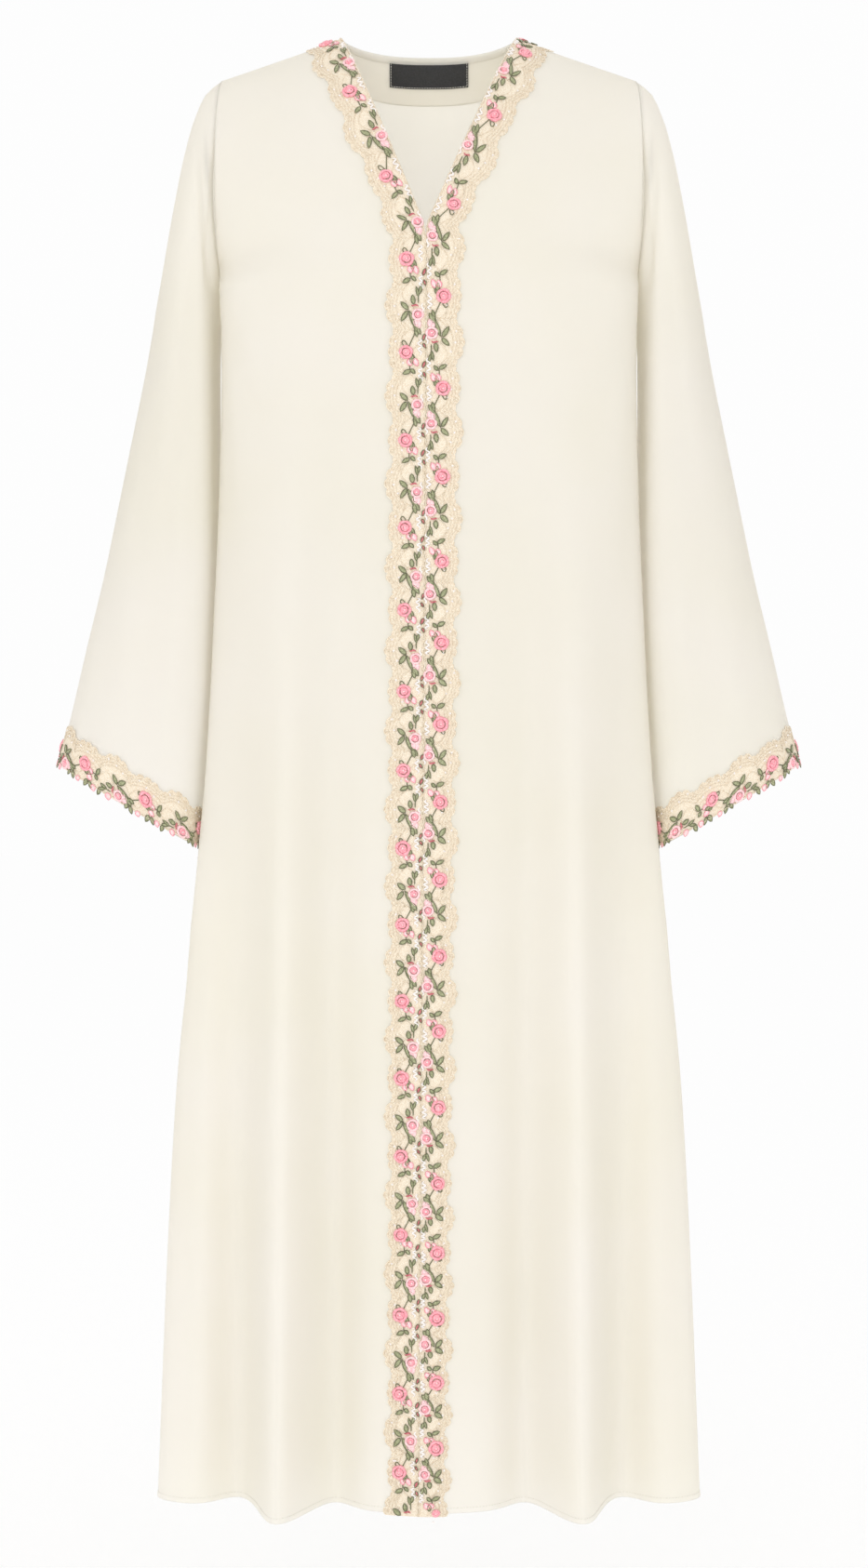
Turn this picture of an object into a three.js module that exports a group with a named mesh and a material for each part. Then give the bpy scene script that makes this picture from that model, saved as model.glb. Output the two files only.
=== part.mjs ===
// Abaya: a full length, open front robe in cream crepe with floral lace borders.
// It is filled out as when worn, hollow, and hangs upright from its shoulder line.
// Millimetres, +Z up. The front faces -Y and Z = 0 is the height of the shoulder neck points.
// Every piece is a closed wall: an outer and an inner surface joined round its edges.

import * as THREE from "three";

// Driving dimensions

const CLOTH = 1.6;
const SEAM_GAP = 0.3;
const NECK_HALF = 86;
const SHOULDER_TIP = { x: 203, z: -42 };
const ARMPIT = { x: 200, z: -264 };
const HEM_Z = -1437;
const V_BOTTOM_Z = -207;
const BACK_NECK = { drop: 8, depth: 42, square: 2.5, fall: 0.7 };

// Body

const ARMHOLE = { front: 72, back: 68, spread: 5 };
const CHEST = { front: 121, back: 105, frontRound: 0.65, backRound: 0.6 };
const CORNER_START = 0.72;
const PINCH_ONSET = 6;
const SQUARE_TOP = 2.6;
const SHOULDER_FALL = 0.75;
const SIDE_HUG = { most: 4, onset: 6 };
const JOIN = { top: -3, hem: -11, halfGap: 0.6 };

// Sections below the armpit. front and back are the depths at the centre, pinch is how far the
// side draws in behind the front corner, and square is the exponent of the rounded outline.
const SKIRT = [
  { z: -264, halfWidth: 212, side: 0, front: 121, back: 105, pinch: 12, square: 3.4 },
  { z: -400, halfWidth: 212, side: 0, front: 118, back: 108, pinch: 13, square: 3.4 },
  { z: -560, halfWidth: 217, side: -1, front: 112, back: 108, pinch: 13, square: 3.3 },
  { z: -720, halfWidth: 227, side: -3, front: 104, back: 104, pinch: 16, square: 3.1 },
  { z: -800, halfWidth: 235, side: -4, front: 99, back: 101, pinch: 17, square: 3.0 },
  { z: -900, halfWidth: 243, side: -5, front: 93, back: 97, pinch: 8, square: 2.9 },
  { z: -1020, halfWidth: 250, side: -5, front: 86, back: 93, pinch: 2, square: 2.8 },
  { z: -1200, halfWidth: 258, side: -6, front: 76, back: 86, pinch: 0, square: 2.7 },
  { z: HEM_Z, halfWidth: 267, side: -8, front: 66, back: 78, pinch: 0, square: 2.6 },
];

// Folds that grow from the waist to the hem. x is the place of the crest, depth is how far it
// stands out at the hem (less than 0 draws in), and lean pushes the crest outwards.
const FOLD_START_Z = -330;
const FOLD_GROWTH = 1.3;
const FOLD_END_AT_SIDE = 6;
const FRONT_FOLDS = [
  { x: 0, width: 60, depth: 14, lean: 0 },
  { x: 92, width: 23, depth: -30, lean: 0 },
  { x: 137, width: 26, depth: 56, lean: 8 },
  { x: 186, width: 27, depth: -38, lean: 0 },
];
const BACK_FOLDS = [
  { x: 0, width: 32, depth: -20, lean: 0 },
  { x: 62, width: 30, depth: 32, lean: 5 },
  { x: 118, width: 26, depth: -26, lean: 0 },
  { x: 172, width: 28, depth: 34, lean: 8 },
  { x: 218, width: 20, depth: -14, lean: 0 },
];
const FOLD_SHIFT = { left: 0, right: 2 };

// Where the rows of the body lie: a share of the armhole above the armpit, heights below it
const YOKE_ROWS = [0, 0.11, 0.22, 0.32, 0.42, 0.52, 0.62, 0.72, 0.86, 1];
const SKIRT_ROWS = [-320, -400, -480, -560, -640, -720, -800, -900, -1000, -1110, -1220, -1330, HEM_Z];

// Columns of the body
const LACE_BAND = [0, 22, 45];
const FRONT_COLUMNS = 15;
const BACK_NECK_COLUMNS = 5;
const BACK_SIDE_COLUMNS = 11;
const RULER_POINTS = 200;
const RULER_SLACK = 1e-9;
const EDGE_SEARCH = { from: -0.3, halvings: 40 };

// Sleeve, one row for each section from shoulder to cuff. The outer and inner ends of a section
// are its highest and lowest points, and depth is its half size from front to back. fullness is
// the exponent of the rounded outline on the side next to the body.
const SLEEVE = [
  { outerX: 217, outerZ: -54, innerX: 203.5, innerZ: -274, depth: 75, fullness: 2.2 },
  { outerX: 229, outerZ: -78, innerX: 206, innerZ: -286, depth: 77, fullness: 2.3 },
  { outerX: 239, outerZ: -112, innerX: 208, innerZ: -302, depth: 79, fullness: 2.6 },
  { outerX: 250, outerZ: -165, innerX: 209, innerZ: -327, depth: 80, fullness: 3 },
  { outerX: 264, outerZ: -245, innerX: 209.5, innerZ: -367, depth: 81, fullness: 3.4 },
  { outerX: 281, outerZ: -340, innerX: 209.5, innerZ: -427, depth: 81, fullness: 3.7 },
  { outerX: 301, outerZ: -440, innerX: 210, innerZ: -501, depth: 80, fullness: 3.8 },
  { outerX: 320, outerZ: -530, innerX: 212, innerZ: -576, depth: 78, fullness: 3.7 },
  { outerX: 338, outerZ: -605, innerX: 215, innerZ: -646, depth: 74, fullness: 3.4 },
  { outerX: 352, outerZ: -665, innerX: 219, innerZ: -706, depth: 70, fullness: 3.2 },
  { outerX: 365, outerZ: -716, innerX: 226, innerZ: -797, depth: 66, fullness: 3 },
];
const SLEEVE_SEAM_GAP = 0.4;
const SLEEVE_SQUARE = 2.2;

// Lace: a thin ground whose roses stand up. Lengths run along a strip, shares across it.
const LACE = 1;
const LACE_LIFT = 0.6;
const LACE_STEP = 9.75;
const LACE_WIDTH = { neck: 42, waist: 36.5, hem: 30 };
const LACE_ACROSS = [0, 0.2, 0.54, 0.8, 1];
const SCALLOP = 7;
const BIG_LOBE_IN = 3.5;
const BIG_ROSE = { share: 0.54, radius: 11, height: 3.6 };
const SMALL_ROSE = { share: 0.2, radius: 10, height: 2.6 };
const CUFF = { width: 40, repeat: 70, lift: 0.7 };

// Places of the big roses along each strip. A lobe stands at each one and at each midpoint, where
// a small rose lies.
const ROSE_PLACES = {
  left: [12, 106, 208, 299, 387, 470, 552, 630, 707, 782, 856, 929, 1002, 1076, 1151, 1227, 1304, 1380, 1456],
  right: [43, 138, 240, 336, 423, 506, 586, 663, 740, 814, 888, 961, 1033, 1106, 1179, 1246, 1309, 1371, 1434],
};

// Neck facing and label
const FACING = { rows: 2, thickness: 1, lift: 0.3 };
const LABEL = { halfWidth: 40, top: 2, height: 25, thickness: 0.8, lift: 0.3, columns: 6, rows: 2 };

const CREPE_FINISH = { color: 0xf6f1e0, roughness: 0.75, metalness: 0 };
const LACE_FINISH = { color: 0xe6d5bd, roughness: 0.85, metalness: 0 };
const LABEL_FINISH = { color: 0x161617, roughness: 0.6, metalness: 0 };

// Small maths

const lerp = (a, b, t) => a + (b - a) * t;
const clamp01 = (t) => Math.min(1, Math.max(0, t));
const smooth = (t) => clamp01(t) ** 2 * (3 - 2 * clamp01(t));
const bump = (t) => Math.exp(-t * t);
const point = (x, y, z) => new THREE.Vector3(x, y, z);

// Reads one named column of a table at height z, curved softly through its rows
function atHeight(table, z, name) {
  const last = table.length - 1;
  let i = table.findIndex((row) => row.z <= z) - 1;
  if (i < -1) i = last - 1;
  i = Math.min(Math.max(i, 0), last - 1);
  const [before, a, b, after] = [i - 1, i, i + 1, i + 2].map((k) => table[Math.min(Math.max(k, 0), last)]);
  const t = clamp01((z - a.z) / (b.z - a.z));
  const slopeA = (b[name] - before[name]) / (b.z - before.z);
  const slopeB = (after[name] - a[name]) / (after.z - a.z);
  const span = b.z - a.z;
  const t2 = t * t;
  const t3 = t2 * t;
  return (
    (2 * t3 - 3 * t2 + 1) * a[name] +
    (t3 - 2 * t2 + t) * span * slopeA +
    (3 * t2 - 2 * t3) * b[name] +
    (t3 - t2) * span * slopeB
  );
}

// The body's surface

const SHOULDER_SLOPE = -SHOULDER_TIP.z / (SHOULDER_TIP.x - NECK_HALF);

// A row of the yoke, at share q of the armhole from shoulder tip to armpit. hug keeps the armhole's
// depth to the very edge of the row, more so near the armpit.
function yokeRow(q, face) {
  const down = (1 - Math.cos(Math.PI * q)) / 2;
  const square = lerp(SQUARE_TOP, SKIRT[0].square, down);
  const pinch = SKIRT[0].pinch * down ** PINCH_ONSET;
  const edgeX = lerp(SHOULDER_TIP.x, ARMPIT.x, q) + ARMHOLE.spread * Math.sin(Math.PI * q);
  const reach = 1 - (1 - down) ** 2;
  return {
    q,
    down,
    square,
    pinch,
    fall: lerp(SHOULDER_FALL, 1 / square, down ** 2),
    hug: 1 + SIDE_HUG.most * down ** SIDE_HUG.onset,
    halfWidth: edgeX + pinch,
    side: (face === "front" ? ARMHOLE.front : ARMHOLE.back) * Math.sin(Math.PI * q),
    centre: face === "front" ? CHEST.front * reach ** CHEST.frontRound : CHEST.back * reach ** CHEST.backRound,
  };
}

// A row below the armpit. side and centre are depths towards the face.
function skirtRow(z, face) {
  const outwards = face === "front" ? -1 : 1;
  const square = atHeight(SKIRT, z, "square");
  return {
    z,
    square,
    fall: 1 / square,
    hug: 1,
    pinch: atHeight(SKIRT, z, "pinch"),
    halfWidth: atHeight(SKIRT, z, "halfWidth"),
    side: outwards * atHeight(SKIRT, z, "side"),
    centre: atHeight(SKIRT, z, face),
    growth: clamp01((FOLD_START_Z - z) / (FOLD_START_Z - HEM_Z)) ** FOLD_GROWTH,
  };
}

const bodyRows = (face) => [
  ...YOKE_ROWS.map((q) => yokeRow(q, face)),
  ...SKIRT_ROWS.map((z) => skirtRow(z, face)),
];

// Height of the row over x: shoulder line and back neckline at the top, level at the armpit
function rowHeight(row, x, face) {
  if (row.q === undefined) return row.z;
  const inNeck = face === "back" && Math.abs(x) < NECK_HALF;
  const top = inNeck ? -BACK_NECK.drop * neckRound(x) : (NECK_HALF - Math.abs(x)) * SHOULDER_SLOPE;
  return lerp(top, ARMPIT.z, row.down);
}

function neckRound(x) {
  return (1 - Math.min(1, Math.abs(x) / NECK_HALF) ** BACK_NECK.square) ** BACK_NECK.fall;
}

// A point of the body at share a of the quarter section, from the centre (0) to the side (1)
function bodyPoint(row, a, face, hand) {
  const share = Math.abs(a);
  const angle = (share * Math.PI) / 2;
  const draw = row.pinch * smooth((share - CORNER_START) / (1 - CORNER_START));
  let x = row.halfWidth * Math.sin(angle) ** (2 / row.square) - draw;
  const round = Math.cos(angle) ** (2 * row.fall);
  let depth = row.centre * round + row.side * (1 - round) ** row.hug;
  if (row.growth) {
    const quiet = row.growth * (1 - share ** FOLD_END_AT_SIDE);
    const folds = face === "front" ? FRONT_FOLDS : BACK_FOLDS;
    const shift = hand > 0 ? FOLD_SHIFT.right : FOLD_SHIFT.left;
    const start = x;
    for (const fold of folds) {
      const wave = quiet * bump((start - fold.x - (fold.x ? shift : 0)) / fold.width);
      depth += fold.depth * wave;
      x += fold.lean * wave;
    }
  }
  if (face === "back" && row.q !== undefined) {
    depth = Math.hypot(depth, BACK_NECK.depth * neckRound(x) * (1 - row.down));
  }
  const signedX = a < 0 ? -x : x;
  const seam = SEAM_GAP / 2;
  const y = face === "front" ? -depth - seam : depth + seam;
  return point(hand * signedX, y, rowHeight(row, x, face));
}

// Points along a row at the wanted distances, with a polyline as the ruler
function spaced(line, distances) {
  const lengths = [0];
  for (let i = 1; i < line.length; i++) lengths.push(lengths[i - 1] + line[i].distanceTo(line[i - 1]));
  const total = lengths[lengths.length - 1];
  const wanted = distances(total);
  return wanted.map((want) => {
    let i = lengths.findIndex((length) => length >= want - RULER_SLACK);
    i = Math.max(1, i < 0 ? line.length - 1 : i);
    const t = clamp01((want - lengths[i - 1]) / (lengths[i] - lengths[i - 1]));
    return line[i - 1].clone().lerp(line[i], t);
  });
}

const even = (from, to, count) => Array.from({ length: count + 1 }, (_, i) => lerp(from, to, i / count));

// Half width of the front opening at height z: the V neck, then the join of the two fronts
function openingX(z, hand) {
  const join = JOIN.halfGap + hand * lerp(JOIN.top, JOIN.hem, clamp01((V_BOTTOM_Z - z) / (V_BOTTOM_Z - HEM_Z)));
  return z > V_BOTTOM_Z ? lerp(NECK_HALF, join, clamp01(z / V_BOTTOM_Z)) : join;
}

// The share of the quarter section where a row of the front meets its opening edge
function openingShare(row, hand) {
  let [low, high] = [EDGE_SEARCH.from, 1];
  for (let i = 0; i < EDGE_SEARCH.halvings; i++) {
    const mid = (low + high) / 2;
    const p = bodyPoint(row, mid, "front", hand);
    if (hand * p.x < openingX(p.z, hand)) low = mid;
    else high = mid;
  }
  return (low + high) / 2;
}

function frontGrid(hand) {
  return bodyRows("front").map((row) => {
    const start = openingShare(row, hand);
    const line = even(start, 1, RULER_POINTS).map((a) => bodyPoint(row, a, "front", hand));
    const band = LACE_BAND[LACE_BAND.length - 1];
    return spaced(line, (total) => [...LACE_BAND.slice(0, -1), ...even(band, total, FRONT_COLUMNS)]);
  });
}

function backGrid() {
  return bodyRows("back").map((row) => {
    const neckX = (NECK_HALF / SHOULDER_TIP.x) * (row.halfWidth - row.pinch);
    const neckShare = (Math.asin((neckX / row.halfWidth) ** (row.square / 2)) * 2) / Math.PI;
    const half = (hand) => {
      const inner = even(0, neckShare, RULER_POINTS).map((a) => bodyPoint(row, a, "back", hand));
      const outer = even(neckShare, 1, RULER_POINTS).map((a) => bodyPoint(row, a, "back", hand));
      return [
        ...spaced(inner, (total) => even(0, total, BACK_NECK_COLUMNS)),
        ...spaced(outer, (total) => even(0, total, BACK_SIDE_COLUMNS)).slice(1),
      ];
    };
    const [left, right] = [half(-1), half(1)];
    return [...left.reverse(), ...right.slice(1)];
  });
}

// Solids from grids of points

// Unit normals of a grid. side is 1 where rows by columns turn outwards, else -1.
function gridNormals(grid, side, loop = false) {
  const last = grid.length - 1;
  return grid.map((row, k) =>
    row.map((_, c) => {
      const above = grid[loop ? (k + last) % grid.length : Math.max(0, k - 1)][c];
      const below = grid[loop ? (k + 1) % grid.length : Math.min(last, k + 1)][c];
      const before = row[Math.max(0, c - 1)];
      const after = row[Math.min(row.length - 1, c + 1)];
      return below.clone().sub(above).cross(after.clone().sub(before)).normalize().multiplyScalar(side);
    })
  );
}

// Moves a grid along its normals. seams(k, c) lists the ways that a point may not go.
function moved(grid, normals, amount, seams = () => []) {
  return grid.map((row, k) =>
    row.map((p, c) => {
      const step = normals[k][c].clone().multiplyScalar(typeof amount === "function" ? amount(k, c) : amount);
      for (const way of seams(k, c)) step.addScaledVector(way, -Math.max(0, step.dot(way)));
      return p.clone().add(step);
    })
  );
}

// A closed solid between an outer and an inner grid. The inner one may have 3 columns only.
function shell(outer, inner, side, loop = false) {
  const positions = [];
  const face = (a, b, c) => {
    for (const p of side > 0 ? [a, b, c] : [a, c, b]) positions.push(p.x, p.y, p.z);
  };
  const quad = (a, b, c, d) => {
    face(a, b, c);
    face(b, d, c);
  };
  const rows = outer.length;
  const steps = loop ? rows : rows - 1;
  for (let k = 0; k < steps; k++) {
    const [o, oNext] = [outer[k], outer[(k + 1) % rows]];
    const [n, nNext] = [inner[k], inner[(k + 1) % rows]];
    for (let c = 0; c + 1 < o.length; c++) quad(o[c], oNext[c], o[c + 1], oNext[c + 1]);
    for (let c = 0; c + 1 < n.length; c++) quad(n[c], n[c + 1], nNext[c], nNext[c + 1]);
    quad(o[0], n[0], oNext[0], nNext[0]);
    quad(o.at(-1), oNext.at(-1), n.at(-1), nNext.at(-1));
  }
  if (!loop) {
    endCap(outer[0], inner[0], face);
    endCap(outer.at(-1), inner.at(-1), (a, b, c) => face(a, c, b));
  }
  const geometry = new THREE.BufferGeometry();
  geometry.setAttribute("position", new THREE.Float32BufferAttribute(positions, 3));
  return geometry;
}

// Closes one end of a shell
function endCap(o, n, face) {
  if (o.length === n.length) {
    for (let c = 0; c + 1 < o.length; c++) {
      face(o[c], o[c + 1], n[c]);
      face(n[c], o[c + 1], n[c + 1]);
    }
    return;
  }
  const hub = n[1];
  face(hub, n[0], o[0]);
  for (let c = 0; c + 1 < o.length; c++) face(hub, o[c], o[c + 1]);
  face(hub, o.at(-1), n[2]);
}

// The point of a triangulated grid at a row and column that need not be whole
function onGrid(grid, row, column, loop = false) {
  const count = grid.length;
  const k = loop ? Math.floor(row) : Math.min(count - 2, Math.max(0, Math.floor(row)));
  const c = Math.min(grid[0].length - 2, Math.max(0, Math.floor(column)));
  const [u, v] = [row - k, column - c];
  const at = (i, j) => grid[loop ? (k + i + count) % count : k + i][c + j];
  const [near, far] = u + v <= 1 ? [at(0, 0), 1] : [at(1, 1), 0];
  const [alongRow, alongColumn] = far ? [at(1, 0), at(0, 1)] : [at(0, 1), at(1, 0)];
  const [s, t] = far ? [u, v] : [1 - u, 1 - v];
  return near.clone().addScaledVector(alongRow.clone().sub(near), s).addScaledVector(alongColumn.clone().sub(near), t);
}

function piece(name, geometry, finish) {
  const mesh = new THREE.Mesh(geometry, new THREE.MeshStandardMaterial(finish));
  mesh.name = name;
  return mesh;
}

// Cloth pieces

function frontPanel(hand) {
  const grid = frontGrid(hand);
  const lastColumn = grid[0].length - 1;
  const armholeRows = YOKE_ROWS.length - 1;
  const seams = (k, c) => {
    const ways = [];
    if (k === 0) ways.push(point(0, 1, 0));
    if (c === 0) ways.push(point(-hand, 0, 0));
    if (c === lastColumn) ways.push(point(hand, 0, 0));
    if (c === lastColumn && k >= armholeRows) ways.push(point(0, 1, 0));
    return ways;
  };
  const inner = moved(grid, gridNormals(grid, hand), -CLOTH, seams);
  return { grid, geometry: shell(grid, inner, hand) };
}

function backPanel() {
  const grid = backGrid();
  const lastColumn = grid[0].length - 1;
  const armholeRows = YOKE_ROWS.length - 1;
  const neckStart = BACK_SIDE_COLUMNS;
  const neckEnd = BACK_SIDE_COLUMNS + 2 * BACK_NECK_COLUMNS;
  const seams = (k, c) => {
    const ways = [];
    if (k === 0 && (c <= neckStart || c >= neckEnd)) ways.push(point(0, -1, 0));
    if (c === 0) ways.push(point(-1, 0, 0));
    if (c === lastColumn) ways.push(point(1, 0, 0));
    if ((c === 0 || c === lastColumn) && k >= armholeRows) ways.push(point(0, -1, 0));
    return ways;
  };
  const inner = moved(grid, gridNormals(grid, -1), -CLOTH, seams);
  return { grid, inner, geometry: shell(grid, inner, -1) };
}

// The sleeve's sections: the first is the armhole's own loop, moved out by the seam gap
function sleeveGrid(hand) {
  const quarter = YOKE_ROWS.length - 1;
  const loop = [
    ...YOKE_ROWS.map((q, i) => ({ q, i, face: "front" })),
    ...YOKE_ROWS.map((q, i) => ({ q, i, face: "back" })).slice(1, quarter).reverse(),
  ];
  return loop.map(({ q, face }) => {
    const row = yokeRow(q, face);
    const start = bodyPoint(row, 1, face, hand);
    start.x += hand * SLEEVE_SEAM_GAP;
    if (q === 0 || q === 1) start.y = 0;
    const towards = face === "front" ? -1 : 1;
    const [cos, sin] = [Math.cos(Math.PI * q), Math.sin(Math.PI * q)];
    const sections = SLEEVE.map((section) => {
      const power = 2 / (cos > 0 ? SLEEVE_SQUARE : section.fullness);
      const ahead = Math.sign(cos) * Math.abs(cos) ** power;
      const middle = point((section.outerX + section.innerX) / 2, 0, (section.outerZ + section.innerZ) / 2);
      const half = point(section.outerX, 0, section.outerZ).sub(middle);
      const p = middle.addScaledVector(half, ahead);
      return point(hand * p.x, towards * section.depth * sin ** power, p.z);
    });
    return [start, ...sections];
  });
}

function sleeve(hand) {
  const grid = sleeveGrid(hand);
  const seams = (k, c) => (c === 0 ? [point(-hand, 0, 0)] : []);
  const inner = moved(grid, gridNormals(grid, hand, true), -CLOTH, seams);
  return { grid, geometry: shell(grid, inner, hand, true) };
}

// Lace

// Repeats of the lace up to a length along it, whole at each big rose
function repeatsAt(along, places) {
  const next = places.findIndex((place) => place > along);
  const k = Math.min(Math.max((next < 0 ? places.length : next) - 1, 0), places.length - 2);
  return k + (along - places[k]) / (places[k + 1] - places[k]);
}

// How far the scalloped edge draws in: least at a small rose, most between lobes
function scallop(repeats) {
  return SCALLOP * Math.sin(2 * Math.PI * repeats) ** 2 + BIG_LOBE_IN * Math.cos(Math.PI * repeats) ** 2;
}

// Steps along an edge that has a point at each of the given corners. Each step has its place as
// a row of the grid and its length from the start.
function edgeSteps(corners, loop = false) {
  const steps = [];
  const last = loop ? corners.length : corners.length - 1;
  let start = 0;
  for (let k = 0; k < last; k++) {
    const length = corners[k].distanceTo(corners[(k + 1) % corners.length]);
    const count = Math.max(1, Math.round(length / LACE_STEP));
    for (let i = 0; i < count; i++) steps.push({ row: k + i / count, along: start + (length * i) / count });
    start += length;
  }
  return loop ? { steps, total: start } : { steps: [...steps, { row: last, along: start }], total: start };
}

function laceWidth(z) {
  if (z > V_BOTTOM_Z) return lerp(LACE_WIDTH.neck, LACE_WIDTH.waist, smooth(z / V_BOTTOM_Z));
  return lerp(LACE_WIDTH.waist, LACE_WIDTH.hem, (V_BOTTOM_Z - z) / (V_BOTTOM_Z - HEM_Z));
}

// How much one row of roses raises the lace at a place along and across it
function roseHeight(along, across, rose, places) {
  const nearest = Math.min(...places.map((place) => Math.abs(along - place)));
  return rose.height * Math.max(0, 1 - (nearest ** 2 + (across - rose.across) ** 2) / rose.radius ** 2);
}

function frontLace(hand, panelGrid) {
  const { steps } = edgeSteps(panelGrid.map((row) => row[0]));
  const bigPlaces = hand > 0 ? ROSE_PLACES.right : ROSE_PLACES.left;
  const smallPlaces = bigPlaces.slice(1).map((place, k) => (place + bigPlaces[k]) / 2);
  const band = LACE_BAND.at(-1);
  const places = steps.map(({ row, along }) => {
    const edge = onGrid(panelGrid, row, 0);
    const drawIn = scallop(repeatsAt(along, bigPlaces));
    const width = laceWidth(edge.z);
    const inset = edge.z > V_BOTTOM_Z ? drawIn / 2 : 0;
    return LACE_ACROSS.map((share) => ({ row, along, share, across: lerp(inset, width - drawIn, share), width }));
  });
  const onPanel = places.map((row) =>
    row.map((place) => onGrid(panelGrid, place.row, (place.across / band) * (LACE_BAND.length - 1)))
  );
  const height = (k, c) => {
    const { along, share, width } = places[k][c];
    const big = { ...BIG_ROSE, across: BIG_ROSE.share * width };
    const small = { ...SMALL_ROSE, across: SMALL_ROSE.share * width };
    const across = share * width;
    return Math.max(roseHeight(along, across, big, bigPlaces), roseHeight(along, across, small, smallPlaces));
  };
  const normals = gridNormals(onPanel, hand);
  const seams = (k, c) => [...(k === 0 ? [point(0, 1, 0)] : []), ...(c === 0 ? [point(-hand, 0, 0)] : [])];
  const outer = moved(onPanel, normals, (k, c) => LACE_LIFT + LACE + height(k, c), seams);
  const lifted = moved(onPanel, normals, LACE_LIFT, seams);
  const inner = lifted.map((row) => [row[0], row[2], row.at(-1)]);
  return shell(outer, inner, hand);
}

function cuffLace(hand, tube) {
  const last = tube.grid[0].length - 1;
  const { steps, total } = edgeSteps(tube.grid.map((row) => row[last]), true);
  const repeats = Math.round(total / CUFF.repeat);
  const rosePlaces = even(0, total, repeats);
  const places = steps.map(({ row, along }) => {
    const edge = onGrid(tube.grid, row, last, true);
    const length = edge.distanceTo(onGrid(tube.grid, row, last - 1, true));
    const drawIn = scallop((along / total) * repeats);
    return LACE_ACROSS.map((share) => {
      const up = lerp(drawIn / 2, CUFF.width - drawIn, share);
      return { row, along, up, column: last - up / length };
    });
  });
  const onSleeve = places.map((row) => row.map((place) => onGrid(tube.grid, place.row, place.column, true)));
  const rose = { ...BIG_ROSE, across: BIG_ROSE.share * CUFF.width };
  const height = (k, c) => roseHeight(places[k][c].along, places[k][c].up, rose, rosePlaces);
  const normals = gridNormals(onSleeve, -hand, true);
  const outer = moved(onSleeve, normals, (k, c) => CUFF.lift + LACE + height(k, c));
  const lifted = moved(onSleeve, normals, CUFF.lift);
  const inner = lifted.map((row) => [row[0], row[2], row.at(-1)]);
  return shell(outer, inner, -hand, true);
}

// Inside of the neck

function neckFacing(back) {
  const from = BACK_SIDE_COLUMNS;
  const to = BACK_SIDE_COLUMNS + 2 * BACK_NECK_COLUMNS;
  const base = back.inner.slice(0, FACING.rows + 1).map((row) => row.slice(from, to + 1));
  const normals = gridNormals(base, 1);
  const outer = moved(base, normals, FACING.lift + FACING.thickness);
  const inner = moved(base, normals, FACING.lift);
  return { grid: outer, geometry: shell(outer, inner, 1) };
}

function neckLabel(facing) {
  const middle = BACK_NECK_COLUMNS;
  const rows = facing.grid.length - 1;
  const height = facing.grid[0][middle].distanceTo(facing.grid[rows][middle]);
  const perColumn = facing.grid[0][middle].distanceTo(facing.grid[0][middle + 1]);
  const base = even(0, 1, LABEL.rows).map((part) =>
    even(-1, 1, LABEL.columns).map((share) => {
      const row = ((LABEL.top + part * LABEL.height) / height) * rows;
      return onGrid(facing.grid, Math.min(rows, row), middle + (share * LABEL.halfWidth) / perColumn);
    })
  );
  const normals = gridNormals(base, 1);
  const outer = moved(base, normals, LABEL.lift + LABEL.thickness);
  const inner = moved(base, normals, LABEL.lift);
  return shell(outer, inner, 1);
}

// The abaya

const group = new THREE.Group();
const back = backPanel();
const facing = neckFacing(back);
group.add(piece("back", back.geometry, CREPE_FINISH));
group.add(piece("back_neck_facing", facing.geometry, CREPE_FINISH));
group.add(piece("neck_label", neckLabel(facing), LABEL_FINISH));
for (const [side, hand] of [["left", -1], ["right", 1]]) {
  const front = frontPanel(hand);
  const tube = sleeve(hand);
  group.add(piece(`front_${side}`, front.geometry, CREPE_FINISH));
  group.add(piece(`sleeve_${side}`, tube.geometry, CREPE_FINISH));
  group.add(piece(`lace_front_${side}`, frontLace(hand, front.grid), LACE_FINISH));
  group.add(piece(`lace_cuff_${side}`, cuffLace(hand, tube), LACE_FINISH));
}

export default group;
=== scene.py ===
# Looks of the abaya: cream crepe, scalloped floral lace down the front and round the cuffs.
# Shapes are worked out in millimetres and made into meshes in metres.
# Z points up, the front faces -Y, and the middle of the shoulder line is at the origin.

import math
import random

import bmesh
import bpy
import numpy as np
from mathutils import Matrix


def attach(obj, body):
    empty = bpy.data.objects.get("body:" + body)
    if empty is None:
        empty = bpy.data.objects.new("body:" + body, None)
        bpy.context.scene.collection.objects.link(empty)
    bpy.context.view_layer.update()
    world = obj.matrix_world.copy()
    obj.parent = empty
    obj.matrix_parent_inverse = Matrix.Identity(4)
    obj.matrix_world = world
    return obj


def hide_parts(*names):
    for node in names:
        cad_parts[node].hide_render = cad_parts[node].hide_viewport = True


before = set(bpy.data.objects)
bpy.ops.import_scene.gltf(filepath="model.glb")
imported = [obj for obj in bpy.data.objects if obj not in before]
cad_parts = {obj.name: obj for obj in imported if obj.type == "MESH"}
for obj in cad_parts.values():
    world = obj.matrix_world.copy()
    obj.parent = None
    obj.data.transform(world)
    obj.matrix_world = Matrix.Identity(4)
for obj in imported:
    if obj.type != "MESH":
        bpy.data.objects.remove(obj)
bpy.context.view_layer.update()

MM = 0.001
SIDES = {"left": -1, "right": 1}
rng = random.Random(7)

# Body of the garment, the same sections as the frame's

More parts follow.
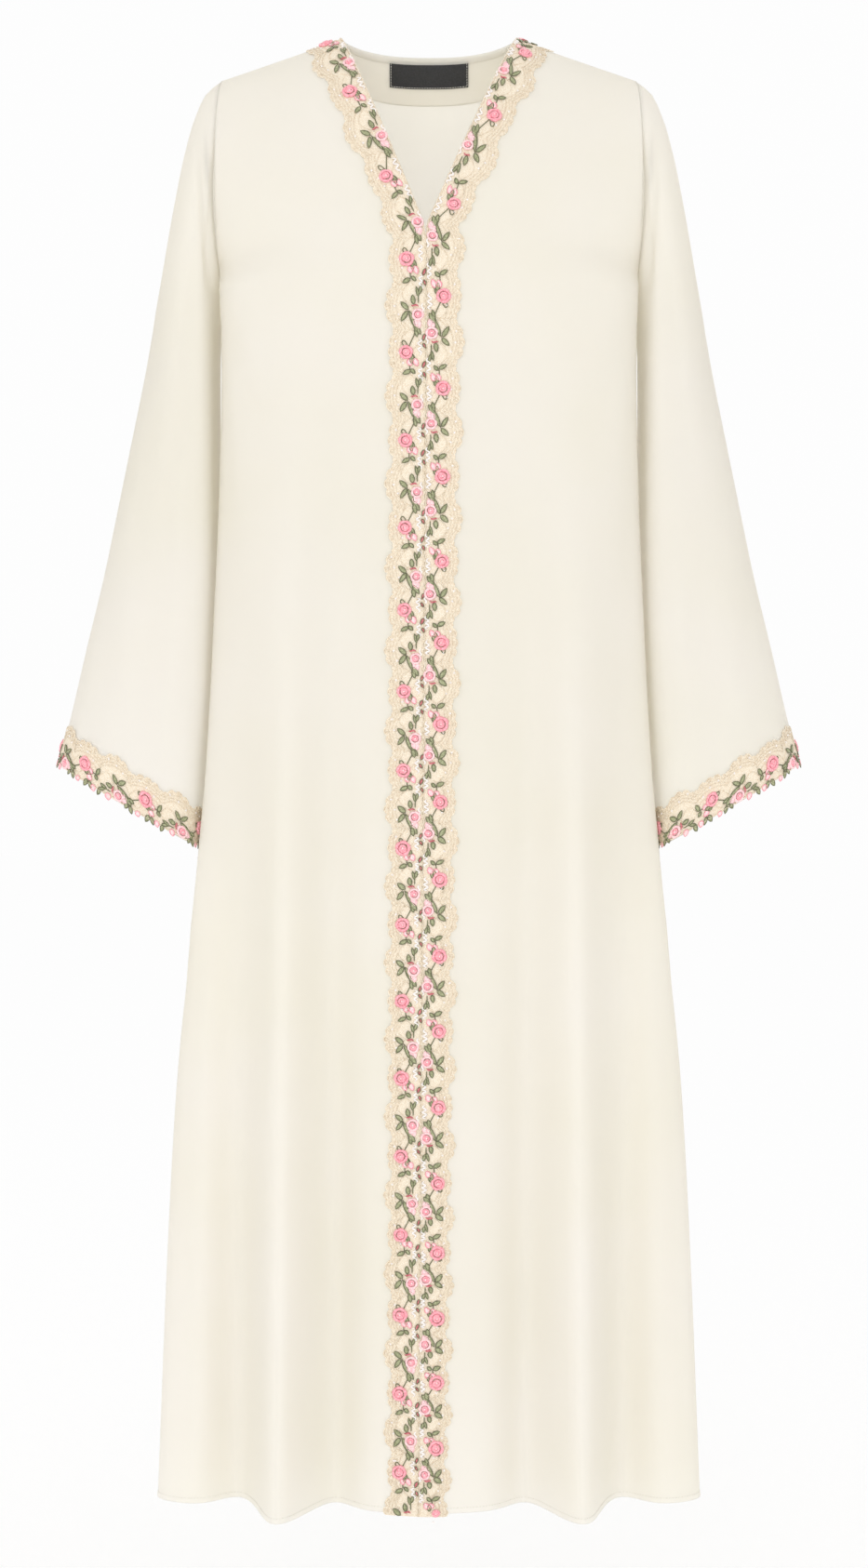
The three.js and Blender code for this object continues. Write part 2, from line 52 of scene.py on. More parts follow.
SEAM_GAP = 0.3
NECK_HALF = 86
SHOULDER_TIP = {"x": 203, "z": -42}
SHOULDER_SLOPE = -SHOULDER_TIP["z"] / (SHOULDER_TIP["x"] - NECK_HALF)
ARMPIT = {"x": 200, "z": -264}
HEM_Z = -1437
V_BOTTOM_Z = -207
BACK_NECK = {"drop": 8, "depth": 42, "square": 2.5, "fall": 0.7}
ARMHOLE = {"front": 72, "back": 68, "spread": 5}
CHEST = {"front": 121, "back": 105}
CHEST_ROUND = {"front": 0.65, "back": 0.6}
CORNER_START = 0.72
PINCH_ONSET = 6
SQUARE_TOP = 2.6
SHOULDER_FALL = 0.75
SIDE_HUG = {"most": 9, "onset": 12}
SETTLE_FROM = 0.8
JOIN = {"top": -3, "hem": -11, "half_gap": 0.6}
EDGE_SEARCH = {"from": -0.3, "halvings": 40}
FINE_SHARES = 400
ARMHOLE_RUN = 330
SKIRT_COLUMNS = ("z", "half_width", "side", "front", "back", "pinch", "square")
SKIRT_ROWS = (
    (-264, 212, 0, 121, 105, 12, 3.4),
    (-400, 212, 0, 118, 108, 13, 3.4),
    (-560, 217, -1, 112, 108, 13, 3.3),
    (-720, 227, -3, 104, 104, 16, 3.1),
    (-800, 235, -4, 99, 101, 17, 3.0),
    (-900, 243, -5, 93, 97, 8, 2.9),
    (-1020, 250, -5, 86, 93, 2, 2.8),
    (-1200, 258, -6, 76, 86, 0, 2.7),
    (HEM_Z, 267, -8, 66, 78, 0, 2.6),
)
SKIRT = dict(zip(SKIRT_COLUMNS, np.array(SKIRT_ROWS, float).T))
FOLD_START_Z = -330
FOLD_GROWTH = 1.3
FOLD_END_AT_SIDE = 6
FOLD_SHIFT = {-1: 0, 1: 2}
# Folds as (place, width, depth, lean)
FOLDS = {
    "front": ((0, 60, 14, 0), (92, 23, -30, 0), (137, 26, 56, 8), (186, 27, -38, 0)),
    "back": ((0, 32, -20, 0), (62, 30, 32, 5), (118, 26, -26, 0), (172, 28, 34, 8), (218, 20, -14, 0)),
}

# Sleeve sections as (outer x, outer z, inner x, inner z, depth, fullness next to the body)
SLEEVE = np.array([
    (217, -54, 203.5, -274, 75, 2.2),
    (229, -78, 206, -286, 77, 2.4),
    (239, -112, 208, -302, 79, 2.9),
    (250, -165, 209, -327, 80, 3.8),
    (264, -245, 209.5, -367, 81, 4.8),
    (281, -340, 209.5, -427, 81, 5.4),
    (301, -440, 210, -501, 80, 5.6),
    (320, -530, 212, -576, 78, 5.4),
    (338, -605, 215, -646, 74, 4.8),
    (352, -665, 219, -706, 70, 4.4),
    (365, -716, 226, -797, 66, 4.0),
])
SEAM_TUCK = {"over": 1.0, "in": 0.985}
SLEEVE_SQUARE = 2.2

CLOTH = 1.2
HEM_FOLD = {
    "rows": (7.0, 5.6, 4.9, 4.2, 2.6, 1.0, 0.0), "height": 4.9,
    "rise": 0.6, "ease": 1.6, "groove": 0.35, "groove_half": 0.8,
}
ROW_STEP = 8
FRONT_COLUMNS = 84
BACK_COLUMNS = 150
SLEEVE_AROUND = 180
SLEEVE_STEP = 8
STITCH = {"pitch": 3.2, "length": 2.1, "radius": 0.24, "lift": 0.05, "first": 2, "last": 4}

# Soft creases as (corners as (x, z), half width, depth, share of it at each end), x away from the middle
CREASES = {
    "front": (
        (((204, -268), (186, -330), (160, -400)), 13, 1.8, 0.5),
        (((205, -300), (196, -420), (192, -560)), 12, 1.6, 0.4),
        (((118, -250), (122, -420), (128, -560)), 22, -1.5, 0.5),
        (((60, -240), (66, -420), (72, -600)), 20, 1.2, 0.5),
        (((188, -80), (176, -150), (170, -230)), 16, 1.2, 0.5),
        (((150, -640), (158, -820), (162, -1000)), 18, 1.4, 0.5),
        (((228, -900), (236, -1150), (240, -1400)), 14, 1.8, 0.4),
    ),
    "back": (
        (((204, -268), (182, -335), (152, -410)), 14, 1.8, 0.5),
        (((206, -300), (198, -430), (194, -570)), 12, 1.6, 0.4),
        (((30, -120), (34, -300), (30, -480)), 24, -1.6, 0.5),
        (((96, -200), (104, -400), (110, -600)), 22, 1.5, 0.5),
        (((140, -620), (148, -820), (150, -1000)), 20, -1.4, 0.5),
        (((232, -900), (240, -1150), (244, -1400)), 14, 1.8, 0.4),
    ),
    "sleeve": (
        (((222, -104), (218, -150), (214, -200), (212, -252)), 4.2, 3.0, 0.25),
        (((207, -110), (208, -160), (209, -210), (210.5, -262)), 4.6, 3.2, 0.25),
        (((214.5, -120), (213, -170), (211.5, -235)), 4.0, -1.6, 0.3),
        (((262, -300), (268, -420), (280, -560)), 15, 1.3, 0.5),
        (((236, -420), (242, -560), (252, -700)), 12, -1.4, 0.5),
        (((300, -520), (312, -620), (322, -690)), 14, 1.3, 0.5),
    ),
}
CREASE_CHANGE = {"left": 1.55, "right": 1.3}
CREASE_FADE = 45


# Small maths

def lerp(a, b, t):
    return a + (b - a) * t


def smooth(t):
    t = np.clip(t, 0, 1)
    return t * t * (3 - 2 * t)


def bump(t):
    return np.exp(-t * t)


def unit(v):
    return v / np.maximum(np.linalg.norm(v, axis=-1, keepdims=True), 1e-12)


def soft_curve(a, b, slope_a, slope_b, t):
    """From a to b as t goes from 0 to 1, leaving and arriving at the given slopes."""
    t2, t3 = t * t, t * t * t
    return (
        (2 * t3 - 3 * t2 + 1) * a + (t3 - 2 * t2 + t) * slope_a
        + (3 * t2 - 2 * t3) * b + (t3 - t2) * slope_b
    )


def run_lengths(points, axis=0):
    """How far each point lies from the start, along a line of points or along an axis of a grid."""
    steps = np.linalg.norm(np.diff(points, axis=axis), axis=-1)
    start = np.zeros_like(np.take(steps, [0], axis=axis))
    return np.concatenate([start, np.cumsum(steps, axis=axis)], axis=axis)


def sampled(table, u, v):
    """Points of a table at u rows and v columns, which may be between whole ones."""
    rows, columns = table.shape[:2]
    u, v = np.clip(u, 0, rows - 1.001), np.clip(v, 0, columns - 1.001)
    i, j = u.astype(int), v.astype(int)
    part_u, part_v = (u - i)[..., None], (v - j)[..., None]
    near = table[i, j] * (1 - part_v) + table[i, j + 1] * part_v
    far = table[i + 1, j] * (1 - part_v) + table[i + 1, j + 1] * part_v
    return near * (1 - part_u) + far * part_u


def at_lengths(line, lengths, wanted):
    return np.stack([np.interp(wanted, lengths, line[:, k]) for k in range(3)], axis=-1)


def step_and_share(places, wanted):
    """The step between places that holds each wanted value, and the value's share of it."""
    i = np.clip(np.searchsorted(places, wanted, side="right") - 1, 0, len(places) - 2)
    return i, (wanted - places[i]) / (places[i + 1] - places[i])


def on_curve(places, values, slopes, wanted):
    """Values at wanted places on a soft curve through the rows of values at places."""
    i, t = step_and_share(places, wanted)
    span = places[i + 1] - places[i]
    span, t = [v.reshape(-1, *[1] * (values.ndim - 1)) for v in (span, np.clip(t, 0, 1))]
    return soft_curve(values[i], values[i + 1], span * slopes[i], span * slopes[i + 1], t)


def at_height(z, name):
    """One column of the skirt's table at heights z."""
    heights, values = SKIRT["z"], SKIRT[name]
    rows = np.arange(len(heights))
    above, below = np.maximum(rows - 1, 0), np.minimum(rows + 1, rows[-1])
    slopes = (values[below] - values[above]) / (heights[below] - heights[above])
    return on_curve(-heights, values, -slopes, -z)


def settled(down, power):
    """down ** power, brought to a level end at 1 so that the chest meets the skirt with no crease."""
    t = np.clip((down - SETTLE_FROM) / (1 - SETTLE_FROM), 0, 1)
    slope = power * SETTLE_FROM ** (power - 1) * (1 - SETTLE_FROM)
    ending = soft_curve(SETTLE_FROM ** power, 1, slope, 0, t)
    return np.where(down < SETTLE_FROM, down ** power, ending)


# The body's surface

def armhole_x(q):
    return lerp(SHOULDER_TIP["x"], ARMPIT["x"], q) + ARMHOLE["spread"] * np.sin(np.pi * q)


def body_rows(face, q, z):
    """The sections at shares q of the armhole and then at heights z, each value as a column."""
    down = (1 - np.cos(np.pi * q)) / 2
    reach = 1 - (1 - down) ** 2
    square = lerp(SQUARE_TOP, SKIRT["square"][0], settled(down, 1))
    pinch = SKIRT["pinch"][0] * settled(down, PINCH_ONSET)
    straight_x = lerp(SHOULDER_TIP["x"], ARMPIT["x"], down)
    outwards = -1 if face == "front" else 1
    growth = np.clip((FOLD_START_Z - z) / (FOLD_START_Z - HEM_Z), 0, 1) ** FOLD_GROWTH
    yoke_and_skirt = {
        "z": (0 * q, z),
        "down": (down, 1 + 0 * z),
        "square": (square, at_height(z, "square")),
        "pinch": (pinch + straight_x - armhole_x(q), at_height(z, "pinch")),
        "fall": (lerp(SHOULDER_FALL, 1 / square, settled(down, 2)), 1 / at_height(z, "square")),
        "half_width": (straight_x + pinch, at_height(z, "half_width")),
        "side": (ARMHOLE[face] * np.sin(np.pi * q), outwards * at_height(z, "side")),
        "centre": (CHEST[face] * reach ** CHEST_ROUND[face], at_height(z, face)),
        "hug": (1 + SIDE_HUG["most"] * down ** SIDE_HUG["onset"], 1 + 0 * z),
        "growth": (0 * q, growth),
        "yoke": (1 + 0 * q, 0 * z),
    }
    return {name: np.concatenate(values)[:, None] for name, values in yoke_and_skirt.items()}


def neck_round(x):
    return (1 - np.minimum(1, np.abs(x) / NECK_HALF) ** BACK_NECK["square"]) ** BACK_NECK["fall"]


def row_height(rows, x, face):
    in_neck = (np.abs(x) < NECK_HALF) & (face == "back")
    top = np.where(in_neck, -BACK_NECK["drop"] * neck_round(x), (NECK_HALF - np.abs(x)) * SHOULDER_SLOPE)
    return np.where(rows["yoke"] > 0, lerp(top, ARMPIT["z"], rows["down"]), rows["z"])


def body_points(rows, share, face, hand):
    """Points at shares of the quarter section, from the centre (0) to the side (1)."""
    a = np.abs(share)
    angle = a * np.pi / 2
    draw = rows["pinch"] * smooth((a - CORNER_START) / (1 - CORNER_START))
    x = rows["half_width"] * np.sin(angle) ** (2 / rows["square"]) - draw
    rounded = np.maximum(np.cos(angle), 0) ** (2 * rows["fall"])
    depth = rows["centre"] * rounded + rows["side"] * (1 - rounded) ** rows["hug"]
    quiet = rows["growth"] * (1 - a ** FOLD_END_AT_SIDE)
    start = x
    for place, width, height, lean in FOLDS[face]:
        shift = FOLD_SHIFT[hand] if place else 0
        wave = quiet * bump((start - place - shift) / width)
        depth = depth + height * wave
        x = x + lean * wave
    if face == "back":
        hollow = BACK_NECK["depth"] * neck_round(x) * (1 - rows["down"])
        depth = np.where(rows["yoke"] > 0, np.hypot(depth, hollow), depth)
    z = row_height(rows, x, face)
    y = -depth - SEAM_GAP / 2 if face == "front" else depth + SEAM_GAP / 2
    return np.stack([hand * np.where(share < 0, -x, x), y, z], axis=-1)


def opening_x(z, hand):
    """Half width of the front opening: the V neck, then the join of the two fronts."""
    down = np.clip((V_BOTTOM_Z - z) / (V_BOTTOM_Z - HEM_Z), 0, 1)
    join = JOIN["half_gap"] + hand * lerp(JOIN["top"], JOIN["hem"], down)
    neck = lerp(NECK_HALF, join, np.clip(z / V_BOTTOM_Z, 0, 1))
    return np.where(z > V_BOTTOM_Z, neck, join)


def opening_share(rows, hand):
    """Where each row meets the edge of the front opening, found by halving."""
    low, high = EDGE_SEARCH["from"] * np.ones_like(rows["z"]), np.ones_like(rows["z"])
    for _ in range(EDGE_SEARCH["halvings"]):
        middle = (low + high) / 2
        p = body_points(rows, middle, "front", hand)
        inside = hand * p[..., 0] < opening_x(p[..., 2], hand)
        low, high = np.where(inside, middle, low), np.where(inside, high, middle)
    return (low + high) / 2


def along_rows(lines, distances):
    """Points along each row at distances(total length), the row given as a fine polyline."""
    made = []
    for line in lines:
        lengths = run_lengths(line)
        made.append(at_lengths(line, lengths, distances(lengths[-1])))
    return np.array(made)


def row_places(step):
    """Shares of the armhole and heights below it that give rows about a step apart."""
    q = np.linspace(0, 1, round(ARMHOLE_RUN / step))
    z = np.linspace(ARMPIT["z"], HEM_Z + HEM_FOLD["rows"][0], round((ARMPIT["z"] - HEM_Z) / step) + 1)[1:]
    return q, np.concatenate([z, HEM_Z + np.array(HEM_FOLD["rows"][1:])])


def front_lines(hand, step):
    rows = body_rows("front", *row_places(step))
    start = opening_share(rows, hand)
    share = start + (1 - start) * np.linspace(0, 1, FINE_SHARES)
    return body_points(rows, share, "front", hand)


def front_grid(hand):
    return along_rows(front_lines(hand, ROW_STEP), lambda total: np.linspace(0, total, FRONT_COLUMNS))


def back_grid():
    rows = body_rows("back", *row_places(ROW_STEP))
    share = np.linspace(0, 1, FINE_SHARES)
    left = body_points(rows, share, "back", -1)[:, ::-1]
    right = body_points(rows, share, "back", 1)
    lines = np.concatenate([left, right[:, 1:]], axis=1)
    return along_rows(lines, lambda total: np.linspace(0, total, BACK_COLUMNS))


def sleeve_grid(hand):
    """Rows run round the sleeve and columns from the armhole to the cuff."""
    half = SLEEVE_AROUND // 2
    q = np.concatenate([np.linspace(0, 1, half + 1), np.linspace(1, 0, half + 1)[1:-1]])
    towards = np.concatenate([-np.ones(half + 1), np.ones(half - 1)])
    armhole = np.where(towards < 0, ARMHOLE["front"], ARMHOLE["back"]) * np.sin(np.pi * q)
    down = (1 - np.cos(np.pi * q)) / 2
    first = np.stack([
        armhole_x(q) - SEAM_TUCK["over"],
        towards * armhole * SEAM_TUCK["in"],
        lerp(SHOULDER_TIP["z"], ARMPIT["z"], down),
    ], axis=-1)
    outer_x, outer_z, inner_x, inner_z, depth, fullness = SLEEVE.T
    cos, sin = np.cos(np.pi * q)[:, None], np.maximum(np.sin(np.pi * q), 0)[:, None]
    power = np.where(cos > 0, 2 / SLEEVE_SQUARE, 2 / fullness)
    ahead = np.sign(cos) * np.abs(cos) ** power
    across = towards[:, None] * sin ** power
    sections = np.stack([
        (outer_x + inner_x) / 2 + ahead * (outer_x - inner_x) / 2,
        depth * across,
        (outer_z + inner_z) / 2 + ahead * (outer_z - inner_z) / 2,
    ], axis=-1)
    corners = np.concatenate([first[:, None], sections], axis=1).swapaxes(0, 1)
    lengths = run_lengths(corners.mean(axis=1))
    wanted = np.linspace(0, lengths[-1], round(lengths[-1] / SLEEVE_STEP) + 1)
    grid = on_curve(lengths, corners, np.gradient(corners, lengths, axis=0), wanted)
    return grid.swapaxes(0, 1) * (hand, 1, 1)


# Meshes

def grid_normals(grid, outwards, loop=False):
    """Unit normals of a grid of points. outwards is 1 where rows by columns turn outwards."""
    if loop:
        padded = np.concatenate([grid[-1:], grid, grid[:1]])
        down = (padded[2:] - padded[:-2]) / 2
    else:
        down = np.gradient(grid, axis=0)
    return outwards * unit(np.cross(down, np.gradient(grid, axis=1)))


def grid_quads(rows, columns, loop=False, around=False):
    """Faces of a grid. A loop closes on its first row, and around closes on its first column."""
    index = np.arange(rows * columns).reshape(rows, columns)
    if loop:
        index = np.concatenate([index, index[:1]])
    if around:
        index = np.concatenate([index, index[:, :1]], axis=1)
    corners = [index[:-1, :-1], index[1:, :-1], index[1:, 1:], index[:-1, 1:]]
    return np.stack(corners, axis=-1).reshape(-1, 4)


def add_object(name, data):
    made = bpy.data.objects.new(name, data)
    bpy.context.scene.collection.objects.link(made)
    return made


def add_mesh(name, points, faces, material, uv=None, body="root"):
    mesh = bpy.data.meshes.new(name)
    mesh.from_pydata((points * MM).tolist(), [], [list(face) for face in faces])
    mesh.materials.append(material)
    if uv is not None:
        loops = np.empty(len(mesh.loops), int)
        mesh.loops.foreach_get("vertex_index", loops)
        mesh.uv_layers.new(name="UVMap").data.foreach_set("uv", (uv[loops] * MM).ravel())
    mesh.shade_smooth()
    made = add_object(name, mesh)
    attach(made, body)
    return made


def face_outwards(made):
    shape = bmesh.new()
    shape.from_mesh(made.data)
    bmesh.ops.recalc_face_normals(shape, faces=shape.faces)
    shape.to_mesh(made.data)
    shape.free()


def shell(outer, inner, loop=False):
    """Points and faces of a closed thin sheet between two grids of points."""
    rows, columns = outer.shape[:2]
    quads = grid_quads(rows, columns, loop)
    count = rows * columns
    faces = [quads, quads[:, ::-1] + count]
    index = np.arange(count).reshape(rows, columns)
    if loop:
        rims = [index[:, 0], index[:, -1]]
    else:
        rims = [np.concatenate([index[0, :-1], index[:-1, -1], index[-1, :0:-1], index[:0:-1, 0]])]
    for run in rims:
        after = np.roll(run, -1)
        faces.append(np.stack([run, after, after + count, run + count], axis=-1))
    return np.concatenate([outer.reshape(-1, 3), inner.reshape(-1, 3)]), np.concatenate(faces)


def cloth_shell(name, grid, normals, loop=False):
    points, faces = shell(grid, grid - normals * CLOTH, loop)
    uv = np.stack([run_lengths(grid, 1), -run_lengths(grid, 0)], axis=-1).reshape(-1, 2)
    made = add_mesh(name, points, faces, CREPE, np.concatenate([uv, uv]))
    face_outwards(made)
    return made


# Materials

def linear(*rgb):
    """A colour from its screen values, 0 to 255."""
    return tuple(((c / 255 + 0.055) / 1.055) ** 2.4 if c > 10 else c / 255 / 12.92 for c in rgb) + (1,)


def set_inputs(made, **values):
    for name, value in values.items():
        made.inputs[name.replace("_", " ")].default_value = value


def new_material(name, colour, roughness):
    """A plain material of a colour given by its screen values."""
    material = bpy.data.materials.new(name)
    material.use_nodes = True
    shader = material.node_tree.nodes["Principled BSDF"]
    set_inputs(shader, Base_Color=linear(*colour), Roughness=roughness)
    return material, material.node_tree, shader


def node(tree, kind, **values):
    made = tree.nodes.new(kind)
    set_inputs(made, **values)
    return made


def texture(tree, kind, space, scale):
    made = node(tree, f"ShaderNodeTex{kind}", Scale=scale)
    tree.links.new(node(tree, "ShaderNodeTexCoord").outputs[space], made.inputs["Vector"])
    return made


def two_tone(tree, shader, factor, dark, light, low=0.35, high=0.65):
    """Base colour between two tones, chosen by a texture's value from low to high."""
    ramp = node(tree, "ShaderNodeValToRGB")
    first, last = ramp.color_ramp.elements
    first.position, first.color = low, linear(*dark)
    last.position, last.color = high, linear(*light)
    tree.links.new(factor, ramp.inputs["Fac"])
    tree.links.new(ramp.outputs["Color"], shader.inputs["Base Color"])
    return ramp.outputs["Color"]


def raise_by(tree, shader, height, strength, distance):
    relief = node(tree, "ShaderNodeBump", Strength=strength, Distance=distance)
    tree.links.new(height, relief.inputs["Height"])
    tree.links.new(relief.outputs["Normal"], shader.inputs["Normal"])


def let_light_through(tree, shader, colour, share):
    """Thin cloth: part of the light goes through it."""
    through = node(tree, "ShaderNodeBsdfTranslucent")
    mix = node(tree, "ShaderNodeMixShader", Fac=share)
    tree.links.new(colour, through.inputs["Color"])
    tree.links.new(shader.outputs["BSDF"], mix.inputs[1])
    tree.links.new(through.outputs["BSDF"], mix.inputs[2])
    tree.links.new(mix.outputs["Shader"], tree.nodes["Material Output"].inputs["Surface"])


def crepe_material():
    material, tree, shader = new_material("cream_crepe", (252, 250, 243), 0.6)
    set_inputs(shader, Sheen_Weight=0.1, Sheen_Roughness=0.4)
    cloud = texture(tree, "Noise", "Object", 5)
    colour = two_tone(tree, shader, cloud.outputs["Fac"], (251, 249, 243), (252, 250, 246))
    crinkle = texture(tree, "Noise", "UV", 1500)
    raise_by(tree, shader, crinkle.outputs["Fac"], 0.12, 0.0003)
    let_light_through(tree, shader, colour, 0.6)
    return material


def lace_material():
    material, tree, shader = new_material("ecru_net", (238, 226, 206), 0.85)
    cells = texture(tree, "Voronoi", "UV", 900)
    cells.feature = "DISTANCE_TO_EDGE"
    distance = cells.outputs["Distance"]
    two_tone(tree, shader, distance, (226, 208, 182), (249, 241, 224), 0.02, 0.25)
    raise_by(tree, shader, distance, 0.4, 0.0006)
    return material


def thread_material(name, dark, light, roughness=0.5):
    """Twisted or satin thread: fine streaks of two close tones."""
    material, tree, shader = new_material(name, light, roughness)
    set_inputs(shader, Sheen_Weight=0.2)
    fibres = texture(tree, "Noise", "Object", 700)
    two_tone(tree, shader, fibres.outputs["Fac"], dark, light)
    raise_by(tree, shader, fibres.outputs["Fac"], 0.3, 0.0004)
    return material


CREPE = crepe_material()
NET = lace_material()
THREAD_TONES = {
    "ecru": ("ecru_cord", (222, 202, 174), (248, 238, 218)),
    "pink": ("pink_satin", (238, 142, 156), (254, 188, 196), 0.4),
    "blush": ("blush_satin", (248, 192, 198), (255, 226, 224), 0.4),
    "white": ("white_pearl", (236, 228, 222), (255, 250, 246), 0.3),
    "wine": ("deep_rose_thread", (176, 78, 86), (222, 128, 134)),
    "olive": ("olive_cord", (92, 94, 64), (128, 128, 92)),
    "sage": ("sage_fill", (134, 138, 98), (176, 178, 140)),
    "label": ("black_woven_label", (14, 14, 16), (32, 32, 34)),
    "stitch": ("pale_stitch", (226, 222, 210), (248, 246, 238)),
}
THREADS = {kind: thread_material(*tones) for kind, tones in THREAD_TONES.items()}


# Cloth pieces

def creased(grid, normals, where, side):
    """Presses the listed soft creases into a sheet."""
    here = np.stack([np.abs(grid[..., 0]), grid[..., 2]], axis=-1)
    sunk = np.zeros(here.shape[:2])
    for corners, width, depth, end_share in CREASES[where]:
        corners = np.array(corners)
        nearest, along, run = np.inf, 0, 0
        for a, b in zip(corners[:-1], corners[1:]):
            way = b - a
            length = np.linalg.norm(way)
            t = np.clip((here - a) @ way / length ** 2, 0, 1)
            away = np.linalg.norm(here - a - t[..., None] * way, axis=-1)
            along = np.where(away < nearest, run + t * length, along)
            nearest = np.minimum(nearest, away)
            run += length
        end = end_share + (1 - end_share) * smooth(np.minimum(along, run - along) / CREASE_FADE)
        sunk += depth * CREASE_CHANGE[side] * end * bump(nearest / width)
    return grid - normals * sunk[..., None]


def with_hem(grid, normals):
    """Raises the turned hem a little, with a groove where it is stitched."""
    up = grid[..., 2] - HEM_Z - HEM_FOLD["height"]
    turned = 1 - smooth((up + 1) / HEM_FOLD["ease"])
    lift = HEM_FOLD["rise"] * turned - HEM_FOLD["groove"] * bump(up / HEM_FOLD["groove_half"])
    return grid + normals * lift[..., None]


def sheet_grids():
    """Each panel and sleeve, with no creases, as its grid of points and their normals."""
    made = {}
    for side, hand in SIDES.items():
        front, tube = front_grid(hand), sleeve_grid(hand)
        made[f"front_{side}"] = front, grid_normals(front, hand)
        made[f"sleeve_{side}"] = tube, grid_normals(tube, hand, loop=True)
    back = back_grid()
    made["back"] = back, grid_normals(back, -1)
    return made


def make_cloth(grids):
    made = {}
    for name, (grid, normals) in grids.items():
        where, _, side = name.partition("_")
        sheet = creased(grid, normals, where, side or "left")
        tube = where == "sleeve"
        piece = cloth_shell(f"{name}_cloth", sheet if tube else with_hem(sheet, normals), normals, tube)
        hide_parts(name)
        made[name] = piece
    return made


def hem_stitches(grids):
    """A row of small stitches just above the turned hem of each panel."""
    made = {}
    level = -HEM_FOLD["rows"][::-1].index(HEM_FOLD["height"]) - 1
    for name in ("front_left", "front_right", "back"):
        pile = Pile()
        grid, normals = grids[name]
        line = grid[level] + normals[level] * STITCH["lift"]
        lengths = run_lengths(line)
        for start in np.arange(STITCH["first"], lengths[-1] - STITCH["last"], STITCH["pitch"]):
            places = start + np.array([0, 0.5, 1]) * STITCH["length"]
            pile.add(*cord(at_lengths(line, lengths, places), STITCH["radius"], 4))
        made[name] = add_mesh(f"hem_stitches_{name}", *pile.shape(), THREADS["stitch"])
    return made


# Lace is drawn flat as (along, across, height) in mm, then laid on a strip of the surface.
# Across is 0 at the edge that has no scallops.

STRIP = {"step": 2, "row_step": 4, "before": -24, "across_from": -16, "across_to": 60, "soften": 30}
ACROSS = np.arange(STRIP["across_from"], STRIP["across_to"] + 0.1, STRIP["step"])
EDGE_COLUMN = np.argmin(np.abs(ACROSS))
LACE_WIDTH = {"neck": 40, "waist": 36.5, "hem": 31}
SCALLOP = 7.5
LOBE_ROUND = 0.75
BIG_LOBE_IN = 3.5
PICOTS = {"per_repeat": 8, "depth": 3.0, "round": 0.7, "inside": 0.6, "ring_inside": 2.4}
# Places of the big roses down each front, as the photo shows them
ROSE_PLACES = {
    "left": (
        12, 106, 208, 299, 387, 470, 552, 630, 707, 782,
        856, 929, 1002, 1076, 1151, 1227, 1304, 1380, 1456,
    ),
    "right": (
        43, 138, 240, 336, 423, 506, 586, 663, 740, 814,
        888, 961, 1033, 1106, 1179, 1246, 1309, 1371, 1434, 1497,
    ),
}
CUFF = {"width": 40, "repeat": 70, "lap": 8}


class Strip:
    """A strip of the surface on which flat work is laid."""

    def __init__(self, points, normals, first, length, width, places, way, join_from=None):
        self.points, self.normals = points, normals
        self.first, self.length, self.width, self.places, self.way = first, length, width, places, way
        self.join_from = join_from

    def lay(self, flat):
        """The points in space of flat points (along, across, height)."""
        u = (flat[:, 0] - self.first) / STRIP["step"]
        v = (flat[:, 1] - STRIP["across_from"]) / STRIP["step"]
        return sampled(self.points, u, v) + unit(sampled(self.normals, u, v)) * flat[:, 2:3]

    def piece(self, name, shape, material):
        """Flat points and faces, laid on the strip as a piece."""
        flat, faces = shape
        return add_mesh(name, self.lay(flat), faces, material, flat[:, :2])

    def repeats(self, along):
        """Repeats of the lace up to a length along it, whole at each big rose."""
        return sum(step_and_share(np.array(self.places, float), along))

    def joined(self, along):
        """0 above the place where the two front laces meet and 1 below it."""
        return smooth((along - self.join_from) / LAP["ease"]) if self.join_from else 0 * along

    def smooth_edge(self, along):
        turn = self.repeats(along) * np.pi
        lobe = 1 - np.abs(np.cos(2 * turn)) ** LOBE_ROUND
        return self.width(along) - SCALLOP * lobe - BIG_LOBE_IN * np.cos(turn) ** 2

    def edge(self, along):
        """The scalloped edge, each lobe with small rounds of its own."""
        small = np.abs(np.cos(np.pi * PICOTS["per_repeat"] * self.repeats(along))) ** PICOTS["round"]
        return self.smooth_edge(along) + PICOTS["depth"] * (small - PICOTS["inside"])


def resampled(table, lengths, wanted):
    """Rows of a table of points at wanted lengths, carried on straight past its ends."""
    i, t = step_and_share(lengths, wanted)
    t = t[:, None, None]
    return table[i] * (1 - t) + table[i + 1] * t


def squared(table, along):
    """Turns a table whose columns lean into one whose columns cross its first edge squarely."""
    edge = table[:, EDGE_COLUMN]
    on = unit(np.gradient(edge, along, axis=0))
    over = unit(table[:, EDGE_COLUMN + 4] - edge)
    lean = (on * over).sum(axis=1)
    soften = STRIP["soften"]
    padded = np.pad(lean, soften, mode="edge")
    lean = np.convolve(padded, np.ones(soften) / soften, mode="same")[soften:-soften]
    straight = np.sqrt(1 - lean ** 2)
    u = (along[:, None] - lean[:, None] / straight[:, None] * ACROSS - along[0]) / STRIP["step"]
    v = (ACROSS / straight[:, None] - ACROSS[0]) / STRIP["step"]
    return sampled(table, u, v)


def rows_across(lines):
    """Points across a strip from the first edge of its lines, carried on straight before that edge."""
    rows = along_rows(lines, lambda total: ACROSS[ACROSS >= 0])
    slope = (rows[:, 1] - rows[:, 0]) / STRIP["step"]
    before = rows[:, :1] + slope[:, None] * ACROSS[ACROSS < 0][:, None]
    return np.concatenate([before, rows], axis=1)


